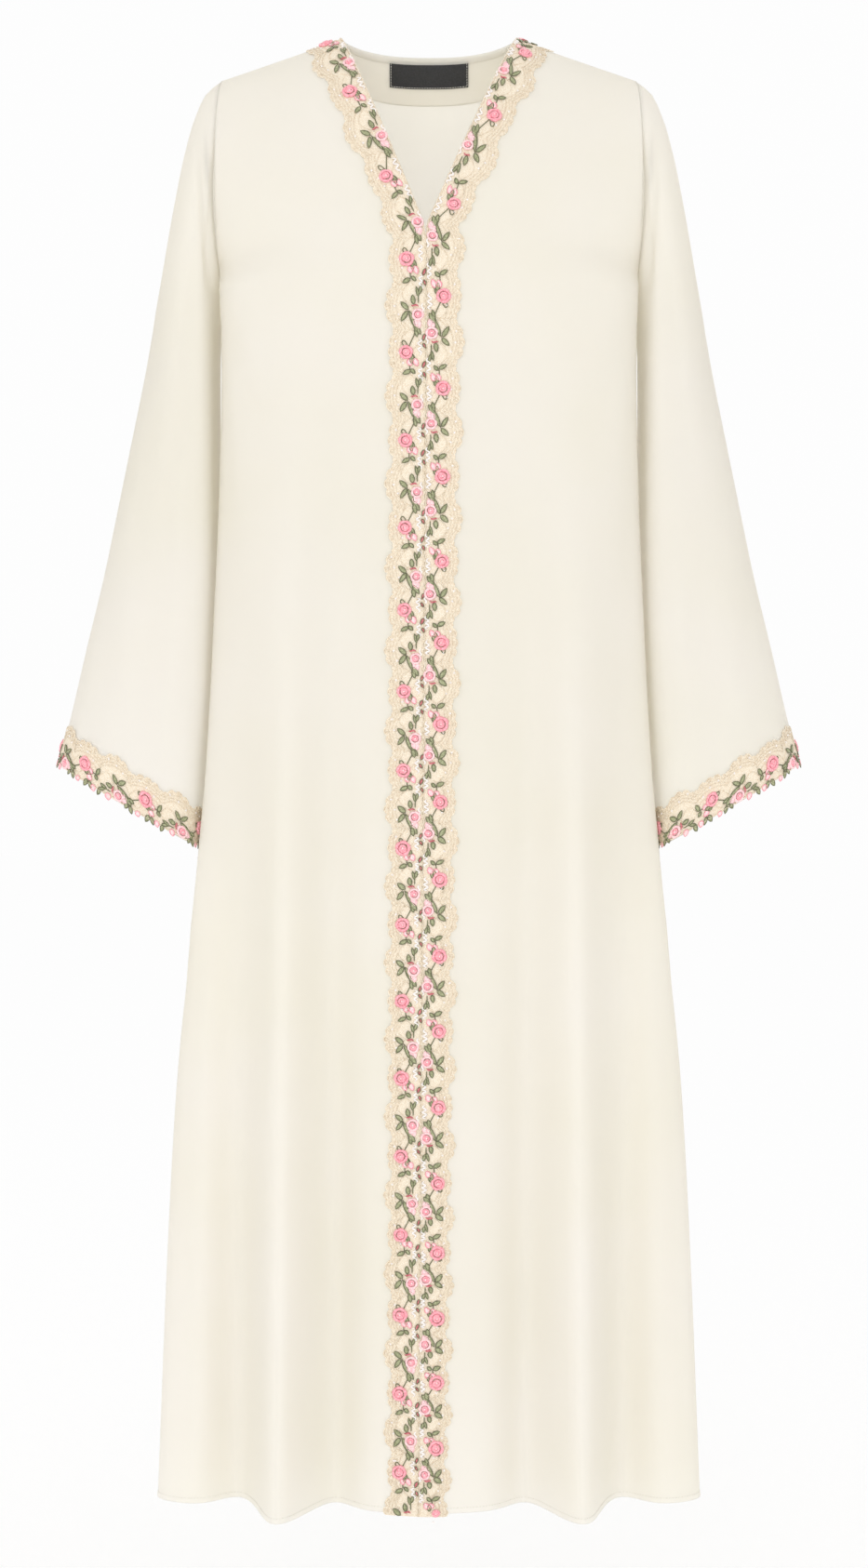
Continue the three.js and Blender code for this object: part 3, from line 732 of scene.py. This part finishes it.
def front_strip(side):
    """The strip from the neck point down a front edge to the hem."""
    hand = SIDES[side]
    table = rows_across(front_lines(hand, STRIP["row_step"]))
    edge = table[:, EDGE_COLUMN]
    lengths = run_lengths(edge)
    length = lengths[-1]
    along = np.arange(STRIP["before"], length - STRIP["before"], STRIP["step"])
    points = squared(resampled(table, lengths, along), along)
    normals = grid_normals(points, hand)
    v_end = np.interp(-V_BOTTOM_Z, -edge[:, 2], lengths)

    def width(s):
        neck = lerp(LACE_WIDTH["neck"], LACE_WIDTH["waist"], smooth(s / v_end))
        join = lerp(LACE_WIDTH["waist"], LACE_WIDTH["hem"], (s - v_end) / (length - v_end))
        return np.where(s < v_end, neck, join)

    return Strip(points, normals, along[0], length, width, ROSE_PLACES[side], -hand, v_end)


def cuff_strip(side):
    """The strip round the end of a sleeve, lapping over itself."""
    hand = SIDES[side]
    table = rows_across(sleeve_grid(hand)[:, ::-1])
    count, lap = len(table), CUFF["lap"]
    table = np.concatenate([table[-lap:], table, table[:lap + 1]])
    lengths = run_lengths(table[:, EDGE_COLUMN])
    lengths -= lengths[lap]
    length = lengths[lap + count]
    along = np.arange(STRIP["before"], length - STRIP["before"], STRIP["step"])
    points = resampled(table, lengths, along)
    normals = grid_normals(points, -hand)
    repeats = round(length / CUFF["repeat"])
    places = np.linspace(-length / repeats, length + length / repeats, repeats + 3)
    return Strip(points, normals, along[0], length, lambda s: CUFF["width"] + 0 * s, places, 1)


# Flat shapes

class Pile:
    """Small flat shapes gathered into one piece."""

    def __init__(self):
        self.points, self.faces, self.count = [], [], 0

    def add(self, points, faces):
        self.points.append(points)
        self.faces.append(np.asarray(faces) + self.count)
        self.count += len(points)

    def shape(self):
        return np.concatenate(self.points), np.concatenate(self.faces)


def moved(shape, along, across, up=0.0, turn=0.0):
    points, faces = shape
    c, s = math.cos(turn), math.sin(turn)
    x = points[:, 0] * c - points[:, 1] * s + along
    y = points[:, 0] * s + points[:, 1] * c + across
    return np.stack([x, y, points[:, 2] + up], axis=-1), faces


TAPER = {"round": 0.6, "least": 0.12}


def cord(path, radius, sides, closed=False, taper=0.0):
    """A round cord along a path of flat points. taper is the share of it that narrows at each end."""
    path = np.asarray(path, float)
    if closed:
        way = np.roll(path, -1, axis=0) - np.roll(path, 1, axis=0)
    else:
        way = np.gradient(path, axis=0)
    side = unit(np.cross(way, (0, 0, 1)))
    up = np.cross(side, unit(way))
    count = len(path)
    share = np.linspace(0, 1, count)
    thick = radius * np.ones(count)
    if taper:
        narrow = np.minimum(1, np.minimum(share, 1 - share) / taper) ** TAPER["round"]
        thick = radius * np.maximum(TAPER["least"], narrow)
    turn = turns(sides)[:, None]
    around = side[:, None] * np.cos(turn) + up[:, None] * np.sin(turn)
    points = path[:, None] + around * thick[:, None, None]
    return points.reshape(-1, 3), grid_quads(count, sides, closed, True)


def at_level(flat, height):
    return np.column_stack([flat, np.full(len(flat), height)])


def turns(count):
    return np.linspace(0, 2 * np.pi, count, endpoint=False)


def round_path(radius, turn, height):
    """Flat points at turns round a middle. The radius and the height may change on the way."""
    return np.stack([radius * np.cos(turn), radius * np.sin(turn), height + 0 * turn], axis=-1)


def ring(radius, thick, height, count):
    return cord(round_path(radius, turns(count), height), thick, 4, closed=True)


def dome(radius, low, high, rings=3, count=10):
    """A low round bead of four-sided faces."""
    levels = np.linspace(0, 1, rings + 1)
    points = [round_path(r * radius, turns(count), lerp(high, low, r * r)) for r in levels[:0:-1]]
    points.append(np.array([[0, 0, high]]))
    index = np.arange(rings * count).reshape(rings, count)
    after = np.roll(index, -1, axis=1)
    sides = np.stack([index[:-1], after[:-1], after[1:], index[1:]], axis=-1).reshape(-1, 4)
    middle = np.full(count // 2, rings * count)
    top = np.stack([index[-1, ::2], index[-1, 1::2], after[-1, 1::2], middle], axis=-1)
    return np.concatenate(points), np.concatenate([sides, top])


LEAF = {"points": 7, "full_at": 0.85, "round": 0.75, "cord": 0.5, "sunk": 0.2, "raised": 0.35}


def leaf(base, tip, width, height):
    """The outline cord and the stitched fill of a leaf."""
    u = np.linspace(0, 1, LEAF["points"])[:, None]
    spread = width / 2 * np.sin(np.pi * u ** LEAF["full_at"]) ** LEAF["round"]
    over = unit(tip - base)[::-1] * (-1, 1) * spread
    middle = base + (tip - base) * u
    left, right = middle + over, middle - over
    outline = cord(at_level(np.concatenate([left, right[-2:0:-1]]), height), LEAF["cord"], 4, closed=True)
    levels = ((left, -LEAF["sunk"]), (middle, LEAF["raised"]), (right, -LEAF["sunk"]))
    rows = [at_level(line, height + level) for line, level in levels]
    return outline, (np.concatenate(rows), grid_quads(3, len(u)))


# Parts of a rose. Reaches and thicknesses are shares of its radius, heights are in mm, turns in radians.
PETALS = 5
PETAL = {
    "count": 11, "turn": (-1, 1), "reach": (0.76, 0.76), "swell": 0.05,
    "height": (1.0, 1.9), "thick": 0.25, "taper": 0.35,
}
COIL = {
    "count": 26, "turn": (0, 3.2 * np.pi), "reach": (0.5, 0.2), "swell": 0,
    "height": (1.9, 3.1), "thick": 0.17, "taper": 0.1,
}
HEART = {"reach": 0.2, "low": 2.6, "high": 3.6}


def wound(radius, start, count, turn, reach, swell, height, thick, taper):
    """A cord that winds round a middle."""
    share = np.linspace(0, 1, count)
    out = radius * (lerp(*reach, share) + swell * np.sin(np.pi * share))
    path = round_path(out, start + lerp(*turn, share), lerp(*height, share))
    return cord(path, radius * thick, 6, taper=taper)


def rose(radius):
    """A rolled satin rose as its petals, its coil and its heart."""
    petals = Pile()
    for k in range(PETALS):
        petals.add(*wound(radius, 2 * np.pi * k / PETALS, **PETAL))
    heart = dome(radius * HEART["reach"], HEART["low"], HEART["high"])
    return petals.shape(), wound(radius, 0, **COIL), heart


# One repeat of the embroidery, from a big rose to the next. Each place is (across, along).
# A leaf is its base, its tip and its width. A stem or a frill is the places that it goes through.

LEAVES = (
    ((11.6, 9.6), (11, 2), 3.6),
    ((13.1, 16), (20.2, 19.4), 3.8),
    ((12.1, 14.6), (8.4, 18.4), 3.2),
    ((5.6, 31), (7.8, 22.6), 2.3),
    ((5.2, 29), (2.6, 21.4), 2.5),
    ((10, 37), (11.2, 29.4), 4),
    ((15.2, 41.4), (22.4, 35.4), 4.2),
    ((16, 42.6), (21.8, 51), 4),
    ((14.2, 42.8), (8.8, 56.6), 3.4),
    ((9.8, 53.4), (3.4, 61.6), 4.4),
    ((8.8, 56), (7, 64), 3.6),
    ((14.6, 73.2), (11.8, 75.6), 2),
    ((14.6, 73.2), (17.2, 75.4), 2),
    ((12.2, 77), (8.4, 82), 3.2),
)
STEMS = (
    ((9, 58), (9.2, 61), (11.2, 65.4), (13.2, 69.2), (14.8, 72.8)),
    ((14.8, 72.4), (16.2, 69.6), (18.4, 66.8), (20.4, 67), (20.6, 69), (18.8, 70.6), (16.8, 70.2)),
    ((14.6, 73), (11.8, 76.6), (10, 82.6), (10.2, 86)),
    ((10.2, 3), (11.6, 6), (13.4, 9), (13.4, 13), (13, 16.2)),
    ((5.6, 36.4), (5.6, 31), (5.4, 26)),
    ((15.2, 41.6), (13.6, 46), (11.4, 51), (9, 58)),
)
BIG_ROSE = {"across": 17.0, "along": 0, "radius": 6.9}
SMALL_ROSE = {"across": 6.0, "along": 45.4, "radius": 5.6}
TAILS = (((8, 49), (6.2, 55), 4.6), ((5, 50), (4.6, 56.5), 4.2))
RIM = ((12.4, 38.4), (10.2, 38.2), (7.6, 37.6), (5.4, 39))
SCRAPS = (((14.4, 6), (12, 11.4), 4.2), ((9.4, 5.6), (6.2, 12.2), 4.8))
FRILLS = (
    ((4.6, 12), (1.6, 14), (5.2, 16), (1.8, 18.4), (5, 20.4), (1.4, 23), (3.4, 25.6)),
    ((5.6, 64.6), (2.2, 66.4), (6, 68.8), (2, 71.2), (5.6, 73.6), (2.4, 76.2), (4.4, 79)),
    ((1, 36), (2.6, 38.6), (0.8, 41), (2.2, 43.4)),
)
JOIN_BITS = (
    ((-1, 8), (1.6, 14), 2.8), ((0.4, 17), (-1.6, 21.6), 2.2),
    ((-0.8, 61), (0.8, 66.4), 2.4), ((1.4, 69), (-1.2, 73.2), 2.2),
)
CUFF_EDGE = (
    ((4, 6), (-3.2, 3), 4), ((3.6, 8.4), (-2.6, 12.4), 3.6),
    ((3, 24), (-3.6, 21.6), 3.8), ((3.2, 60), (-3, 63.6), 4), ((4, 57), (-1.6, 54.4), 3.4),
)
CUFF_PETALS = (((3, 14.4), (-2.4, 17.2), 5.4), ((3.4, 33), (-2.6, 35.4), 5.6), ((2, 68), (-2.4, 71), 5))
STEM_CORD = {"kind": "olive", "height": 1.5, "radius": 0.5, "sides": 4, "taper": 0.1}
FRILL_CORD = {"kind": "white", "height": 1.5, "radius": 1.0, "sides": 5, "taper": 0.15}
RIM_CORD = {"kind": "wine", "height": 2.2, "radius": 0.9, "sides": 5, "taper": 0.3}
ROSE_LIFT = 0.6
REPEAT = 76
OVERHANG = 3.5


class Embroidery:
    """Everything that lies on the lace ground of one strip, gathered by material."""

    def __init__(self, strip):
        self.strip, self.piles = strip, {}
        self.origin, self.stretch = 0, 1
        self.last = strip.length + OVERHANG if strip.join_from else np.inf

    def add(self, kind, shape):
        """Leaves out what would hang below the end of the strip."""
        if shape[0][:, 0].max() < self.last:
            self.piles.setdefault(kind, Pile()).add(*shape)

    def place(self, across, along):
        return np.array([self.origin + self.strip.way * along * self.stretch, across])

    def stem(self, places, kind, height, radius, sides, taper):
        path = curved(np.array([self.place(*place) for place in places]))
        self.add(kind, cord(at_level(path, height), radius, sides, taper=taper))

    def leaves(self, table, kinds=("olive", "sage"), height=1.7):
        for base, tip, width in table:
            nudge = rng.uniform(-0.5, 0.5)
            ends = [self.place(*end) + nudge for end in (base, tip)]
            shapes = leaf(*ends, width * rng.uniform(0.9, 1.1), height + rng.uniform(0, 0.3))
            for kind, shape in zip(kinds, shapes):
                self.add(kind, shape)

    def rose(self, kinds, across, along, radius):
        s, t = self.place(across, along)
        turn, size = rng.uniform(0, 2 * math.pi), radius * rng.uniform(0.94, 1.06)
        for kind, shape in zip(kinds, rose(size)):
            self.add(kind, moved(shape, s, t, ROSE_LIFT, turn))

    def repeat(self, origin, stretch):
        self.origin, self.stretch = origin, stretch
        self.leaves(LEAVES)
        self.leaves(TAILS, ("blush", "blush"))
        self.leaves(SCRAPS, ("pink", "blush"))
        if self.strip.join_from is None:
            self.leaves(CUFF_EDGE)
            self.leaves(CUFF_PETALS, ("pink", "blush"))
        else:
            for frill in FRILLS:
                self.stem(frill, **FRILL_CORD)
            if self.strip.way > 0 and origin > self.strip.join_from:
                self.leaves(JOIN_BITS, ("olive", "wine"), 2.2)
        for places in STEMS:
            self.stem(places, **STEM_CORD)
        self.stem(RIM, **RIM_CORD)
        self.rose(("pink", "pink", "blush"), **BIG_ROSE)
        self.rose(("blush", "pink", "white"), **SMALL_ROSE)


def curved(corners, steps=4):
    """Points of a soft curve through the corners."""
    places = np.arange(len(corners))
    wanted = np.linspace(0, places[-1], places[-1] * steps + 1)
    return on_curve(places, corners, np.gradient(corners, axis=0), wanted)


# The two laces meet below the V neck, where the left one laps over the other
GROUND = {"step": 1.2, "columns": 15, "inset": 0.4, "height": 0.8, "lap_rise": 0.6}
RELIEF = {"depth": 0.25, "across": 1.9, "along": 0.55}
LAP = {"ease": 14, "over": 1.9, "under": 0.5, "cord": 1.7}


def lace_ground(name, strip, start, end):
    along = np.arange(start, end + GROUND["step"] / 2, GROUND["step"])
    share = np.linspace(0, 1, GROUND["columns"])
    joined = strip.joined(along)[:, None]
    on_top = strip.way > 0
    inner = GROUND["inset"] - LAP["over" if on_top else "under"] * joined
    across = inner + (strip.edge(along)[:, None] - inner) * share
    wave = np.sin(across * RELIEF["across"]) * np.sin(along * RELIEF["along"])[:, None]
    rise = GROUND["lap_rise"] * on_top * joined * np.clip(1 - share * 6, 0, 1)
    height = GROUND["height"] + RELIEF["depth"] * wave + rise
    flat = np.stack([along[:, None] + 0 * across, across, height], axis=-1).reshape(-1, 3)
    return strip.piece(name, (flat, grid_quads(len(along), len(share))), NET)


EDGE_CORD = {"step": 1.1, "height": 1.0, "radius": 0.6}
# Cords along the scalloped edge as (distance inside it, waver, radius)
EDGE_ARCS = ((3.6, 0.5, 0.4), (6.4, 0.8, 0.35), (9.6, 0.6, 0.4))
ARC = {"step": 1.5, "height": 1.15, "waver_rate": 1.4}
CROSSED = {"across": 13, "reach": 8, "height": 1.1, "radius": 0.4}
INNER_CORD = {"across": 1.2, "waver": 0.5, "waver_rate": 0.9, "height": 1.4, "radius": 0.7}
PICOT_RING = {"radius": 1.5, "thick": 0.32, "height": 1.1, "count": 8}


def lace_cords(name, strip, start, end):
    pile = Pile()

    def run(along, across, height, radius, sides=4):
        pile.add(*cord(at_level(np.column_stack([along, across]), height), radius, sides))

    along = np.arange(start, end, EDGE_CORD["step"])
    run(along, strip.edge(along), EDGE_CORD["height"], EDGE_CORD["radius"], 5)
    along = np.arange(start, end, ARC["step"])
    for inside, waver, radius in EDGE_ARCS:
        line = strip.smooth_edge(along) - inside + waver * np.sin(along * ARC["waver_rate"])
        run(along, line, ARC["height"], radius)
    for turn in (0, np.pi):
        line = CROSSED["across"] + CROSSED["reach"] * np.sin(4 * np.pi * strip.repeats(along) + turn)
        run(along, line, CROSSED["height"], CROSSED["radius"])
    line = INNER_CORD["across"] + INNER_CORD["waver"] * np.sin(along * INNER_CORD["waver_rate"])
    line = line - LAP["cord"] * (strip.way > 0) * strip.joined(along)
    run(along, line, INNER_CORD["height"], INNER_CORD["radius"])
    small = ring(**PICOT_RING)
    for s, t in picot_places(strip, start, end):
        pile.add(*moved(small, s, t - PICOTS["ring_inside"]))
    return strip.piece(name, pile.shape(), THREADS["ecru"])


def picot_places(strip, start, end):
    """The top of each small round of the scalloped edge."""
    along = np.arange(start, end, 0.25)
    count = np.floor(strip.repeats(along) * PICOTS["per_repeat"])
    tops = along[1:][count[1:] != count[:-1]]
    return zip(tops, strip.edge(tops))


PEARL = {"radius": 1.2, "low": 0.9, "high": 2.0, "rings": 2, "count": 8}
PEARLS_OF_LOBE = ((0, -8.4), (9, -12), (-10, -6))


def lace_pearls(name, strip, start, end):
    pile = Pile()
    bead = dome(**PEARL)
    first, last = strip.repeats(np.array([start, end])) * 2
    for lobe in np.arange(math.ceil(first), last):
        s = np.interp(lobe / 2, np.arange(len(strip.places)), strip.places)
        t = strip.smooth_edge(np.array([s]))[0]
        for further, inside in PEARLS_OF_LOBE:
            pile.add(*moved(bead, s + further + rng.uniform(-1, 1), t + inside + rng.uniform(-1, 1)))
    return strip.piece(name, pile.shape(), THREADS["white"])


def make_lace(where, side, strip, start, end):
    """One strip of lace: its ground, cords, pearls and embroidery."""
    name = f"lace_{where}_{side}"
    ground = lace_ground(f"{name}_ground", strip, start, end)
    parts = [
        lace_cords(f"{name}_cords", strip, start, end),
        lace_pearls(f"{name}_pearls", strip, start, end),
    ]
    work = Embroidery(strip)
    places = strip.places
    for k, origin in enumerate(places):
        after = places[np.clip(k + strip.way, 0, len(places) - 1)]
        gap = abs(after - origin) or REPEAT
        if start <= origin < end:
            work.repeat(origin, gap / REPEAT)
    for kind, pile in work.piles.items():
        parts.append(strip.piece(f"{name}_{kind}", pile.shape(), THREADS[kind]))
    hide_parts(name)
    return ground, parts


# Inside of the neck

NECK = {
    "reach": 90, "half": 85, "down_to": 0.45, "rows": 80, "facing": 46,
    "facing_lift": 0.3, "facing_thick": 0.9, "band": 5.6, "band_crown": 1.3, "band_top": 2.2,
}
ROLL = {"across": -0.3, "height": -0.4, "radius": 1.5}
LABEL_STITCH = {"inset": 1.2, "pitch": 2.6, "half": 0.9, "rise": 0.15, "radius": 0.22}
PATCH = {"half_width": 40, "top": 3.2, "height": 25.5, "lift": 1.3, "thick": 0.8}


def neck_strip():
    """The inner side of the back below its neckline: along runs across the neck, across runs down."""
    x = np.arange(-NECK["reach"], NECK["reach"] + 0.1, STRIP["step"])
    rows = body_rows("back", np.linspace(0, NECK["down_to"], NECK["rows"]), np.array([]))
    half = np.abs(x) / rows["half_width"]
    share = np.arcsin(np.minimum(1, half ** (rows["square"] / 2))) * 2 / np.pi
    lines = body_points(rows, share * np.where(x < 0, -1, 1), "back", 1).transpose(1, 0, 2)
    table = rows_across(lines)
    normals = grid_normals(table, -1)
    return Strip(table + normals * CLOTH, normals, x[0], x[-1] - x[0], None, (0, 1), 1)


def flat_patch(along, across, *heights):
    """A closed flat patch between a low and a high level, which may be functions."""
    s, t = np.meshgrid(along, across, indexing="ij")
    levels = [h(s, t) if callable(h) else np.full_like(s, h) for h in heights]
    low, high = [np.stack([s, t, level], axis=-1) for level in levels]
    return shell(high, low)


def label_stitches(height):
    """A row of small stitches along each edge of the label."""
    pile = Pile()
    half, inset, pitch = LABEL_STITCH["half"], LABEL_STITCH["inset"], LABEL_STITCH["pitch"]
    right, top = PATCH["half_width"] - inset, PATCH["top"] + inset
    bottom = PATCH["top"] + PATCH["height"] - inset
    starts = [((s, t), (1, 0)) for s in np.arange(-right, right - 1, pitch) for t in (top, bottom)]
    starts += [((s, t), (0, 1)) for t in np.arange(top, bottom - 1, pitch) for s in (-right, right)]
    for start, way in starts:
        path = start + np.outer((0, half, 2 * half), way)
        levels = (height, height + LABEL_STITCH["rise"], height)
        pile.add(*cord(np.column_stack([path, levels]), LABEL_STITCH["radius"], 4))
    return pile.shape()


def make_neck():
    strip = neck_strip()
    made = {}
    along = np.linspace(-NECK["half"], NECK["half"], 86)
    low, thick = NECK["facing_lift"], NECK["facing_thick"]

    def laid(name, shape, material):
        piece = strip.piece(name, shape, material)
        face_outwards(piece)
        return piece

    facing = flat_patch(along, np.linspace(0.3, NECK["facing"], 24), low, low + thick)
    made["facing"] = laid("back_neck_facing_cloth", facing, CREPE)
    band_top = low + thick + 0.2

    def crown(s, t):
        from_top = (t - NECK["band_top"]) / (NECK["band"] - NECK["band_top"])
        return band_top + NECK["band_crown"] * np.sqrt(np.maximum(0, 1 - from_top ** 2))

    band = flat_patch(along, np.linspace(-1.1, NECK["band"], 12), band_top, crown)
    made["band"] = laid("neck_binding", band, CREPE)
    edge = at_level(at_level(along, ROLL["across"]), ROLL["height"])
    made["edge"] = laid("neck_binding_roll", cord(edge, ROLL["radius"], 8), CREPE)
    base = low + thick + PATCH["lift"] - 1
    label = flat_patch(
        np.linspace(-PATCH["half_width"], PATCH["half_width"], 41),
        np.linspace(PATCH["top"], PATCH["top"] + PATCH["height"], 14),
        base, base + PATCH["thick"],
    )
    made["label"] = laid("neck_label_patch", label, THREADS["label"])
    points, faces = label_stitches(base + PATCH["thick"])
    made["stitches"] = add_mesh("label_stitches", strip.lay(points), faces, THREADS["stitch"])
    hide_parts("back_neck_facing")
    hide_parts("neck_label")
    return made


# Stage, light and camera

def make_stage():
    material, tree, shader = new_material("white_floor", (243, 243, 243), 0.9)
    set_inputs(shader, Specular_IOR_Level=0, Emission_Color=(1, 1, 1, 1), Emission_Strength=0.1)
    bpy.ops.mesh.primitive_circle_add(vertices=96, radius=30, fill_type="NGON", location=(0, 0, -1.62))
    floor = bpy.context.object
    floor.name = "floor"
    floor.data.materials.append(material)


def make_light():
    scene = bpy.context.scene
    scene.world = bpy.data.worlds.new("studio")
    scene.world.use_nodes = True
    set_inputs(scene.world.node_tree.nodes["Background"], Color=(1, 1, 1, 1), Strength=0.985)
    lamp = bpy.data.lights.new("key", "AREA")
    lamp.shape, lamp.size, lamp.energy = "DISK", 2.6, 52
    key = add_object("key", lamp)
    key.location = (-0.5, -4.4, -1.1)
    key.rotation_euler = (math.radians(93), 0, math.radians(-6.5))
    scene.view_settings.view_transform = "Standard"
    scene.view_settings.look = "None"


def make_camera():
    camera = add_object("camera", bpy.data.cameras.new("camera"))
    camera.location = (5.06 * MM, -2600 * MM, -736.6 * MM)
    camera.rotation_euler = (math.radians(90), 0, 0)
    camera.data.sensor_width = 36
    camera.data.lens = 60.29
    bpy.context.scene.camera = camera


make_camera()
make_light()
make_stage()
grids = sheet_grids()
make_cloth(grids)
hem_stitches(grids)
neck = make_neck()
for side in SIDES:
    strip = front_strip(side)
    ground, parts = make_lace("front", side, strip, 2, strip.length + 3)
    strip = cuff_strip(side)
    ground, parts = make_lace("cuff", side, strip, 0, strip.length)
